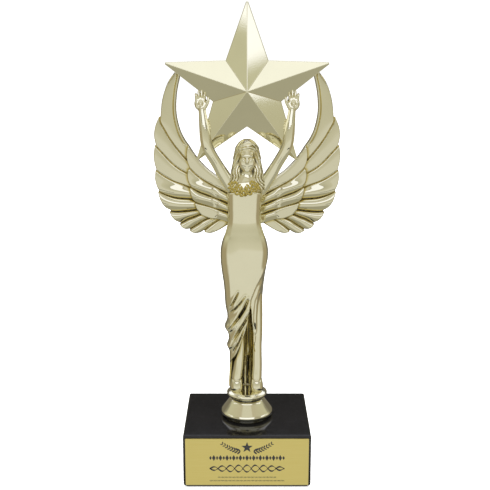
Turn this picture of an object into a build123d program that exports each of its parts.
"""Star trophy: a winged figure that holds up a star, on a flared riser and a stone block.

Frame: +Z up, the figure faces -Y, origin at the middle of the felt's underside. Millimetres.
Left and right are the figure's own: its left hand is on the +X side.
"""

from build123d import *
from math import cos, hypot, pi, sin, tan
import os

# Block, felt and nameplate
block_width = 88.9
block_depth = 76.2
block_height = 38.1
block_edge_radius = 1.6
felt_thickness = 1.0
felt_margin = 2.0
plate_width = 85.4
plate_height = 34.8
plate_thickness = 0.8
plate_corner_radius = 0.6
tape_thickness = 0.25
tape_margin = 1.5

# Rod and fasteners
rod_radius = 3.0
thread_clearance = 0.05
rod_hole_clearance = 0.6
nut_across_flats = 10.0
nut_height = 5.0
washer_radius = 9.0
washer_thickness = 1.6
lock_washer_radius = 5.4
lock_washer_thickness = 1.5
lock_washer_gap = 1.2
nut_pocket_radius = 13.0
nut_pocket_depth = 15.0
rod_stickout = 3.0

# Riser and foot disc
riser_radius = 18.7
riser_top_radius = 12.6
riser_height = 12.7
riser_foot_inset = 1.8
riser_foot_height = 1.8
riser_lip_height = 5.0
riser_wall = 2.0
neck_radius = 11.3
neck_height = 2.8
disc_radius = 14.4
disc_height = 3.5
spigot_radius = 8.6
spigot_length = 5.0
fit_clearance = 0.1
toe_peg_radius = 1.2
toe_peg_length = 2.2

# Figure: widths and depths are half sizes of an oval section
figure_height = 181.4
hem_half = 13.0
shin_half = 11.0
knee_half = 13.0
hip_half = 16.5
waist_half = 10.8
chest_half = 11.8
neck_half = 3.9
shin_deep = 8.0
knee_deep = 8.8
hip_deep = 9.6
waist_deep = 6.8
chest_deep = 8.0
body_shift = -1.6
body_levels = 12
shell_wall = 1.8
parting_y = 1.0
leg_spacing = 6.6
leg_radius = 4.3
leg_y = -2.6
head_half = 7.0
head_deep = 8.6
hair_half = 9.6

# Arms: one centre line, from the shoulder to the wrist, and a hand
shoulder_x = 11.6
armpit_x = 17.2
elbow_x = 26.6
wrist_x = 30.2
shoulder_radius = 4.4
elbow_radius = 3.5
wrist_radius = 2.7
hand_y = -4.4
arm_gap = 0.9
palm_half = 4.0
palm_deep = 2.2
finger_radius = 1.0
finger_length = 6.0

# Star
star_radius = 58.8
star_notch_radius = 24.0
star_tip_cut = 1.4
star_rise = 17.0
star_rim = 1.6
star_back_depth = 3.4
star_wall = 1.5
star_parting_y = 2.4
hand_lap = 2.2

# Wings
wing_half_span = 64.8
wing_thickness = 3.0
covert_thickness = 2.2
wing_seat_y = 9.4
wing_gap = 0.4
lug_half = 2.6
lug_overrun = 9.0

# Screws that hold the wings to the back and the star to the wings
screw_radius = 1.3
screw_clearance = 0.02
screw_head_radius = 2.5
screw_head_height = 1.6
boss_radius = 2.6
screw_bite = 4.5

# Heights that stack up from the table
block_top = felt_thickness + block_height
disc_bottom = block_top + riser_height + neck_height
sole_z = disc_bottom + disc_height


def up(share):
    """Height of a level on the figure, given as a share of its height above the soles."""
    return sole_z + share * figure_height


shoulder_z = up(0.842)
elbow_z = up(0.966)
wrist_z = up(1.111)
fingertip_z = wrist_z + palm_half * 2 + finger_length - 1.2
star_side_angle = pi / 10
star_low_angle = -3 * pi / 10


def star_edge_rise(x):
    """Height above the star's centre of the lower edge of its side arm, at x."""
    notch_x, notch_z = star_notch_radius * cos(pi / 10), -star_notch_radius * sin(pi / 10)
    tip_x, tip_z = star_radius * cos(pi / 10), star_radius * sin(pi / 10)
    return notch_z + (x - notch_x) * (tip_z - notch_z) / (tip_x - notch_x)


star_z = fingertip_z - hand_lap - star_edge_rise(wrist_x)
ridge_y = star_parting_y - star_rim - star_rise * (1 - hypot(elbow_x, star_z - elbow_z) / star_radius)
elbow_y = ridge_y - arm_gap - elbow_radius
wing_low_z = up(0.622)
wing_high_z = star_z + star_radius * 0.8 * sin(star_side_angle) + 1.6
star_tips = [pi / 2 + 2 * pi * i / 5 for i in range(5)]


def cylinder_up(radius, bottom, top, x=0.0, y=0.0):
    return Pos(x, y, bottom) * Cylinder(
        radius, top - bottom, align=(Align.CENTER, Align.CENTER, Align.MIN)
    )


def cylinder_back(radius, front_y, back_y, x, z):
    """A round bar along +Y."""
    bar = Cylinder(radius, back_y - front_y, align=(Align.CENTER, Align.CENTER, Align.MIN))
    return Pos(x, front_y, z) * Rot(X=-90) * bar


def mirrored(shape):
    return mirror(shape, about=Plane.YZ)


def front_face(points):
    """A closed outline given as (x, z), laid on the XZ plane."""
    wire = Wire.make_polygon([Vector(x, 0, z) for x, z in points], close=True)
    return Face(wire)


def extrude_back(face, front_y, back_y):
    """Extrudes a face on the XZ plane so that it spans front_y to back_y."""
    return extrude(Pos(0, front_y, 0) * face, amount=back_y - front_y, dir=(0, 1, 0))


# ---------------------------------------------------------------- block and fasteners


def base_block():
    block = Pos(0, 0, felt_thickness) * Box(
        block_width, block_depth, block_height, align=(Align.CENTER, Align.CENTER, Align.MIN)
    )
    block = fillet(block.edges(), block_edge_radius)
    block -= cylinder_up(rod_radius + rod_hole_clearance, 0, block_top + 1)
    return block - cylinder_up(nut_pocket_radius, 0, felt_thickness + nut_pocket_depth)


def base_felt():
    """One sheet that also closes the pocket below the nut."""
    return Box(
        block_width - 2 * felt_margin,
        block_depth - 2 * felt_margin,
        felt_thickness,
        align=(Align.CENTER, Align.CENTER, Align.MIN),
    )


plate_z = felt_thickness + block_height / 2


def front_panel(width, height, thickness, back_y, corner_radius):
    panel = Pos(0, back_y - thickness / 2, plate_z) * Box(width, thickness, height)
    if corner_radius:
        panel = fillet(panel.edges().filter_by(Axis.Y), corner_radius)
    return panel


def nameplate():
    back_y = -block_depth / 2 - tape_thickness
    return front_panel(plate_width, plate_height, plate_thickness, back_y, plate_corner_radius)


def nameplate_tape():
    width = plate_width - 2 * tape_margin
    height = plate_height - 2 * tape_margin
    return front_panel(width, height, tape_thickness, -block_depth / 2, 0)


pocket_roof = felt_thickness + nut_pocket_depth
washer_bottom = pocket_roof - washer_thickness
lock_bottom = washer_bottom - lock_washer_thickness
nut_bottom = lock_bottom - nut_height
rod_bottom = nut_bottom - rod_stickout
foot_nut_top = sole_z - disc_height / 2
foot_nut_bottom = foot_nut_top - nut_height
rod_top = foot_nut_top - 1.0


def hex_nut(bottom):
    corner_radius = nut_across_flats / 2 / cos(pi / 6)
    nut = extrude(Pos(0, 0, bottom) * RegularPolygon(corner_radius, 6), nut_height)
    return nut - cylinder_up(rod_radius + thread_clearance, bottom - 1, bottom + nut_height + 1)


def tie_rod():
    rod = cylinder_up(rod_radius, rod_bottom, rod_top)
    return chamfer(rod.edges().filter_by(GeomType.CIRCLE), 0.5)


def pocket_washer():
    washer = cylinder_up(washer_radius, washer_bottom, pocket_roof)
    return washer - cylinder_up(rod_radius + fit_clearance, 0, block_top)


def lock_washer():
    ring = cylinder_up(lock_washer_radius, lock_bottom, washer_bottom)
    ring -= cylinder_up(rod_radius + fit_clearance, 0, block_top)
    split = Pos(lock_washer_radius, 0, lock_bottom) * Box(
        2 * lock_washer_radius, lock_washer_gap, 2 * lock_washer_thickness
    )
    return ring - split


# ---------------------------------------------------------------- riser and foot disc


def ring_solid(profile):
    """Turns an (r, z) outline about the trophy's axis."""
    return revolve(front_face(profile), axis=Axis.Z)


def riser_cone():
    foot_radius = riser_radius - riser_foot_inset
    lip_bottom = block_top + riser_foot_height
    lip_top = block_top + riser_lip_height
    cone_top = block_top + riser_height
    slope = (riser_radius - riser_top_radius) / (cone_top - lip_top)
    bore = spigot_radius + fit_clearance
    roof = cone_top - 2 * riser_wall
    roof_radius = riser_top_radius - riser_wall + slope * 2 * riser_wall
    cone = ring_solid(
        [
            (bore, cone_top),
            (riser_top_radius, cone_top),
            (riser_radius, lip_top),
            (riser_radius, lip_bottom + 0.6),
            (riser_radius - 0.6, lip_bottom),
            (foot_radius, lip_bottom),
            (foot_radius, block_top),
            (foot_radius - riser_wall, block_top),
            (foot_radius - riser_wall, lip_bottom + riser_wall),
            (roof_radius, roof),
            (bore, roof),
        ]
    )
    return cone


def foot_disc():
    neck_bottom = block_top + riser_height
    spigot_bottom = neck_bottom - spigot_length
    rim = disc_height / 3
    disc = ring_solid(
        [
            (0, spigot_bottom),
            (spigot_radius, spigot_bottom),
            (spigot_radius, neck_bottom),
            (neck_radius, neck_bottom),
            (neck_radius, disc_bottom),
            (disc_radius - rim, disc_bottom),
            (disc_radius, disc_bottom + rim),
            (disc_radius, sole_z - rim),
            (disc_radius - rim, sole_z),
            (0, sole_z),
        ]
    )
    disc -= cylinder_up(rod_radius + fit_clearance, 0, rod_top + 0.6)
    pocket = nut_across_flats / 2 / cos(pi / 6) + fit_clearance
    disc -= extrude(Pos(0, 0, spigot_bottom) * RegularPolygon(pocket, 6), foot_nut_top - spigot_bottom)
    for side in (-1, 1):
        disc -= toe_peg(side, toe_peg_radius + fit_clearance, toe_peg_length + fit_clearance)
    return disc


def toe_peg(side, radius, length):
    """The peg under a shoe, or the hole that it seats in."""
    return cylinder_up(radius, sole_z - length, sole_z, side * leg_spacing, leg_y)


# ---------------------------------------------------------------- figure shells


body_stations = [
    (0.00, hem_half, shin_deep),
    (0.14, shin_half, shin_deep),
    (0.36, knee_half, knee_deep),
    (0.56, hip_half, hip_deep),
    (0.685, waist_half, waist_deep),
    (0.80, chest_half, chest_deep),
    (0.86, chest_half, chest_deep),
]


def body_oval(share, inset):
    """The dress's section at a level, eased between the stations above."""
    for (low, wide0, deep0), (high, wide1, deep1) in zip(body_stations, body_stations[1:]):
        if share <= high:
            t = (share - low) / (high - low)
            t = t * t * (3 - 2 * t)
            wide, deep = wide0 + (wide1 - wide0) * t, deep0 + (deep1 - deep0) * t
            return Pos(body_shift, 0, up(share)) * Ellipse(wide - inset, deep - inset)


def body_loft(lowest, highest, inset=0.0):
    """The dress and bust between two levels. inset is the wall that an inner copy leaves."""
    step = (highest - lowest) / body_levels
    return loft([body_oval(lowest + i * step, inset) for i in range(body_levels + 1)])


def ellipsoid(x, y, z, half_x, half_y, half_z):
    return Pos(x, y, z) * scale(Sphere(1), (half_x, half_y, half_z))


def bust_and_head():
    chest_top = up(0.80)
    shoulders = ellipsoid(body_shift, 0, chest_top, chest_half, chest_deep, up(0.86) - chest_top)
    neck = cylinder_up(neck_half, chest_top, up(0.90), 0, 0.6)
    head = ellipsoid(0, -0.8, up(0.94), head_half, head_deep, up(1.0) - up(0.94))
    hair = ellipsoid(0, 3.4, up(0.90), hair_half, head_deep * 0.66, up(0.985) - up(0.90))
    return shoulders + neck + head + hair


def slit():
    """The open front of the skirt, below the drape that runs down from the left hip."""
    low = sole_z - 2
    side = hip_half + 4
    outline = [
        (3.0, up(0.335)),
        (5.4, up(0.17)),
        (side, up(0.17)),
        (side, low),
        (-9.6, low),
        (-13.2, up(0.055)),
        (-6.0, up(0.155)),
    ]
    return extrude_back(front_face(outline), -3 * hip_deep, parting_y)


def leg(side):
    x = side * leg_spacing
    shank = loft(
        [
            Pos(x, leg_y, sole_z) * Circle(leg_radius + 0.2),
            Pos(x, leg_y, up(0.09)) * Circle(leg_radius - 0.2),
            Pos(x - side * 0.6, leg_y, up(0.18)) * Circle(leg_radius),
            Pos(x - side * 1.0, leg_y, up(0.27)) * Circle(leg_radius + 0.4),
            Pos(x - side * 1.4, leg_y, up(0.36)) * Circle(leg_radius + 0.8),
        ]
    )
    return shank + toe_peg(side, toe_peg_radius, toe_peg_length)


def half_space(front):
    """A block that keeps the front or the back of the parting plane."""
    size = 4 * figure_height
    y = parting_y - size / 2 if front else parting_y + size / 2
    return Pos(0, y, up(0.5)) * Box(size, size, size)


def body_solid():
    cavity = body_loft(0.0, 0.78, shell_wall)
    return body_loft(0.025, 0.80) + bust_and_head() - cavity


def figure_front(body, arms):
    front = (body & half_space(True)) - slit()
    for side in (-1, 1):
        front += leg(side) & half_space(True)
    return front - arms


wing_screw_places = [(5.0, up(0.705)), (5.0, up(0.775))]


def figure_back(body, arms):
    back = body & half_space(False)
    for x, z in wing_screw_places:
        for side in (-1, 1):
            back += cylinder_back(boss_radius, wing_seat_y - screw_bite, wing_seat_y, side * x, z)
            pilot = screw_radius + screw_clearance
            bottom = wing_seat_y - screw_bite + 1.0
            back -= cylinder_back(pilot, bottom, wing_seat_y, side * x, z)
    return back - arms


# ---------------------------------------------------------------- arms


shoulder = (shoulder_x, 0.6, shoulder_z - 3.0, shoulder_radius)
armpit = (armpit_x, -1.6, shoulder_z + 5.2, shoulder_radius)
elbow = (elbow_x, elbow_y, elbow_z, elbow_radius)
mid_forearm = (elbow_x + 1.9, elbow_y, elbow_z + 10.0, elbow_radius - 0.3)
wrist = (wrist_x, hand_y, wrist_z, wrist_radius)


def limb(stations):
    """Tapered round lengths from ball to ball. A station is x, y, z and radius."""
    shape = None
    for start, end in zip(stations, stations[1:]):
        a, b = Vector(*start[:3]), Vector(*end[:3])
        length = (b - a).length
        align = (Align.CENTER, Align.CENTER, Align.MIN)
        if start[3] == end[3]:
            taper = Cylinder(start[3], length, align=align)
        else:
            taper = Cone(start[3], end[3], length, align=align)
        piece = Plane(origin=a, z_dir=b - a) * taper + Pos(a) * Sphere(start[3])
        shape = piece if shape is None else shape + piece
    return shape + Pos(b) * Sphere(end[3])


def finger(x, base_z, length, lean):
    """One round-ended finger that stands on the palm and leans back towards the star."""
    shaft = Cylinder(finger_radius, length, align=(Align.CENTER, Align.CENTER, Align.MIN))
    tip = Pos(0, 0, length) * Sphere(finger_radius)
    return Pos(x, hand_y, base_z) * Rot(X=-12, Y=lean) * (shaft + tip)


def left_arm():
    arm = limb([shoulder, armpit, elbow, mid_forearm, wrist])
    palm_z = wrist_z + palm_half
    arm += ellipsoid(wrist_x + 0.4, hand_y, palm_z, palm_half, palm_deep, palm_half + 1.2)
    finger_base = palm_z + 1.6
    for i, length_share in enumerate((0.80, 0.96, 1.0, 0.86)):
        x = wrist_x + 0.5 + (1.5 - i) * 1.8
        arm += finger(x, finger_base, finger_length * length_share, (1.5 - i) * 3)
    return arm + finger(wrist_x - palm_half + 1.4, palm_z - 2.0, finger_length * 0.8, -10)


def arm_sockets():
    """Room for both shoulders in the body shells."""
    grown = [(*station[:3], shoulder_radius + fit_clearance) for station in (shoulder, armpit)]
    socket = limb(grown)
    return socket + mirrored(socket)


# ---------------------------------------------------------------- star


def star_points(radius, notch_radius):
    points = []
    for tip in star_tips:
        points.append((radius * cos(tip), star_z + radius * sin(tip)))
        notch = tip + pi / 5
        points.append((notch_radius * cos(notch), star_z + notch_radius * sin(notch)))
    return points


def star_pyramid(radius, notch_radius, base_y, peak_y, rim_y):
    """A ten-faced pyramid on a star outline, with a straight rim from rim_y to base_y."""
    outline = star_points(radius, notch_radius)
    rim = [Vector(x, rim_y, z) for x, z in outline]
    base = [Vector(x, base_y, z) for x, z in outline]
    peak = Vector(0, peak_y, star_z)
    faces = [Face(Wire.make_polygon(rim, close=True))]
    for i in range(len(outline)):
        j = (i + 1) % len(outline)
        faces.append(Face(Wire.make_polygon([rim[i], rim[j], base[j], base[i]], close=True)))
        faces.append(Face(Wire.make_polygon([base[i], base[j], peak], close=True)))
    return Solid(Shell(faces))


def blunt_tips(star):
    reach = star_radius - star_tip_cut
    span = star_rise * 4
    return star & cylinder_back(reach, star_parting_y - span, star_parting_y + span, 0, star_z)


tip_slope = star_notch_radius * sin(pi / 5) / (star_radius - star_notch_radius * cos(pi / 5))


def inner_star(wall):
    """Tip and notch radii of an outline that stays one wall inside the star."""
    half_tip = wall / (tip_slope / hypot(1, tip_slope))
    shrink = (star_radius - half_tip) / star_radius
    return star_radius - half_tip, star_notch_radius * shrink


def star_front():
    outer = star_pyramid(
        star_radius,
        star_notch_radius,
        star_parting_y - star_rim,
        star_parting_y - star_rim - star_rise,
        star_parting_y,
    )
    inner_radius, inner_notch = inner_star(star_wall)
    rise = star_rise * inner_radius / star_radius
    cavity = star_pyramid(
        inner_radius,
        inner_notch,
        star_parting_y - star_rim,
        star_parting_y - star_rim - rise,
        star_parting_y,
    )
    return blunt_tips(outer) - cavity


def on_star_arm(angle, reach):
    return reach * cos(angle), star_z + reach * sin(angle)


star_screw_places = [
    on_star_arm(star_side_angle, star_radius * 0.76),
    on_star_arm(star_low_angle, star_radius * 0.86),
]
star_back_y = star_parting_y + star_back_depth


def star_back():
    cover = blunt_tips(
        extrude_back(front_face(star_points(star_radius, star_notch_radius)), star_parting_y, star_back_y)
    )
    dish = extrude_back(
        front_face(star_points(*inner_star(star_wall))), star_parting_y, star_back_y - star_wall
    )
    cover -= dish
    for (x, z), seat in zip(star_screw_places, (wing_seat_y, wing_seat_y - covert_thickness)):
        for side in (-1, 1):
            cover += cylinder_back(boss_radius, star_parting_y + 0.4, seat, side * x, z)
            pilot = screw_radius + screw_clearance
            cover -= cylinder_back(pilot, seat - screw_bite, seat, side * x, z)
    return blunt_bosses(cover)


def blunt_bosses(cover):
    """Keeps a boss near a narrow tip from standing through the front shell."""
    behind = star_parting_y
    span = 4 * star_radius
    return cover & (Pos(0, behind + span / 2, star_z) * Box(span, span, span))


# ---------------------------------------------------------------- wings


def wing_point(u, v):
    """A place on the left wing: u is a share of the half span, v of the wing's height."""
    return u * wing_half_span, wing_low_z + v * (wing_high_z - wing_low_z)


wing_tip = on_star_arm(star_side_angle, star_radius * 0.80)
outer_tips = [
    wing_tip,
    wing_point(0.930, 0.712),
    wing_point(0.980, 0.548),
    wing_point(0.978, 0.395),
    wing_point(0.953, 0.266),
    wing_point(0.821, 0.138),
    wing_point(0.722, 0.068),
    wing_point(0.625, 0.026),
    wing_point(0.470, 0.016),
    wing_point(0.216, 0.061),
]
covert_tips = [
    wing_point(0.610, 0.540),
    wing_point(0.622, 0.402),
    wing_point(0.602, 0.288),
    wing_point(0.545, 0.199),
    wing_point(0.440, 0.110),
    wing_point(0.230, 0.078),
]
root_top = wing_point(0.19, 0.300)
outer_bulge = 0.10
covert_bulge = 0.09


def scallops(tips, bulge):
    """Arcs from feather tip to feather tip. bulge is each arc's rise as a share of its chord."""
    arcs = []
    for (x0, z0), (x1, z1) in zip(tips, tips[1:]):
        rise = bulge * hypot(x1 - x0, z1 - z0)
        length = hypot(x1 - x0, z1 - z0)
        out_x, out_z = -(z1 - z0) / length, (x1 - x0) / length
        middle = Vector((x0 + x1) / 2 + out_x * rise, 0, (z0 + z1) / 2 + out_z * rise)
        arcs.append(ThreePointArc(Vector(x0, 0, z0), middle, Vector(x1, 0, z1)))
    return arcs


def closed_face(edges):
    return Face(Wire(edges))


def on_front(points):
    return [Vector(x, 0, z) for x, z in points]


def wing_layer(tips, bulge, inner_edge, front_y, back_y):
    """A flat layer of feathers: scalloped outside, a smooth curve along the leading edge."""
    edges = scallops(tips, bulge)
    last = Vector(tips[-1][0], 0, tips[-1][1])
    root = Vector(root_top[0], 0, root_top[1])
    edges.append(Line(last, root))
    edges.append(Spline(root, *on_front(inner_edge), Vector(tips[0][0], 0, tips[0][1])))
    return extrude_back(closed_face(edges), front_y, back_y)


def left_wing():
    back_y = wing_seat_y + wing_thickness
    primary_edge = [
        wing_point(0.46, 0.43),
        wing_point(0.665, 0.590),
        wing_point(0.745, 0.730),
        wing_point(0.765, 0.830),
    ]
    covert_edge = [wing_point(0.31, 0.355), wing_point(0.50, 0.445)]
    wing = wing_layer(outer_tips, outer_bulge, primary_edge, wing_seat_y, back_y)
    covert_y = wing_seat_y - covert_thickness
    wing += wing_layer(covert_tips, covert_bulge, covert_edge, covert_y, back_y)
    return wing + wing_root(back_y) + star_lug(covert_y, back_y) - wing_screw_holes(back_y)


def wing_root(back_y):
    """The tab that reaches behind the figure's back, as far as the other wing's tab."""
    low, high = wing_screw_places[0][1] - 5, wing_screw_places[1][1] + 5
    x_out = root_top[0] + 3
    tab = front_face([(wing_gap / 2, low), (x_out, low), (x_out, high), (wing_gap / 2, high)])
    return extrude_back(tab, wing_seat_y, back_y)


def star_lug(front_y, back_y):
    """A bar along the star's lower arm that carries its screw on the wing."""
    c, s = cos(star_low_angle), sin(star_low_angle)
    x0, z0 = on_star_arm(star_low_angle, star_radius * 0.86 - boss_radius)
    x1, z1 = on_star_arm(star_low_angle, star_radius + lug_overrun)
    a, b = lug_half * s, lug_half * c
    bar = front_face([(x0 - a, z0 + b), (x1 - a, z1 + b), (x1 + a, z1 - b), (x0 + a, z0 - b)])
    return extrude_back(bar, front_y, back_y)


def wing_screw_holes(back_y):
    holes = None
    for x, z in wing_screw_places + star_screw_places:
        hole = cylinder_back(screw_radius + fit_clearance, wing_seat_y - 5, back_y + 1, x, z)
        holes = hole if holes is None else holes + hole
    return holes


def screws(places, tips_y):
    """Pan-head screws from behind, as a group of separate solids, on both sides."""
    head_y = wing_seat_y + wing_thickness
    group = []
    for (x, z), tip_y in zip(places, tips_y):
        shank = cylinder_back(screw_radius, tip_y, head_y + 0.2, x, z)
        head = cylinder_back(screw_head_radius, head_y, head_y + screw_head_height, x, z)
        head = fillet(head.edges().group_by(Axis.Y)[-1], screw_head_height * 0.4)
        screw = shank + head
        group += [screw, mirrored(screw)]
    return Compound(children=group)


def wing_screws():
    tip_y = wing_seat_y - screw_bite + 1.2
    return screws(wing_screw_places, [tip_y, tip_y])


def star_screws():
    seats = (wing_seat_y, wing_seat_y - covert_thickness)
    return screws(star_screw_places, [seat - screw_bite + 0.3 for seat in seats])


# ---------------------------------------------------------------- write the parts


def build():
    arm = left_arm()
    sockets = arm_sockets()
    body = body_solid()
    wing = left_wing()
    return {
        "base_block": base_block(),
        "base_felt": base_felt(),
        "nameplate": nameplate(),
        "nameplate_tape": nameplate_tape(),
        "tie_rod": tie_rod(),
        "pocket_washer": pocket_washer(),
        "lock_washer": lock_washer(),
        "pocket_nut": hex_nut(nut_bottom),
        "riser_cone": riser_cone(),
        "foot_disc": foot_disc(),
        "foot_nut": hex_nut(foot_nut_bottom),
        "figure_front": figure_front(body, sockets),
        "figure_back": figure_back(body, sockets),
        "left_arm": arm,
        "right_arm": mirrored(arm),
        "left_wing": wing,
        "right_wing": mirrored(wing),
        "wing_screws": wing_screws(),
        "star_front": star_front(),
        "star_back": star_back(),
        "star_screws": star_screws(),
    }


os.makedirs("parts", exist_ok=True)
for name, shape in build().items():
    export_step(shape, f"parts/{name}.step")
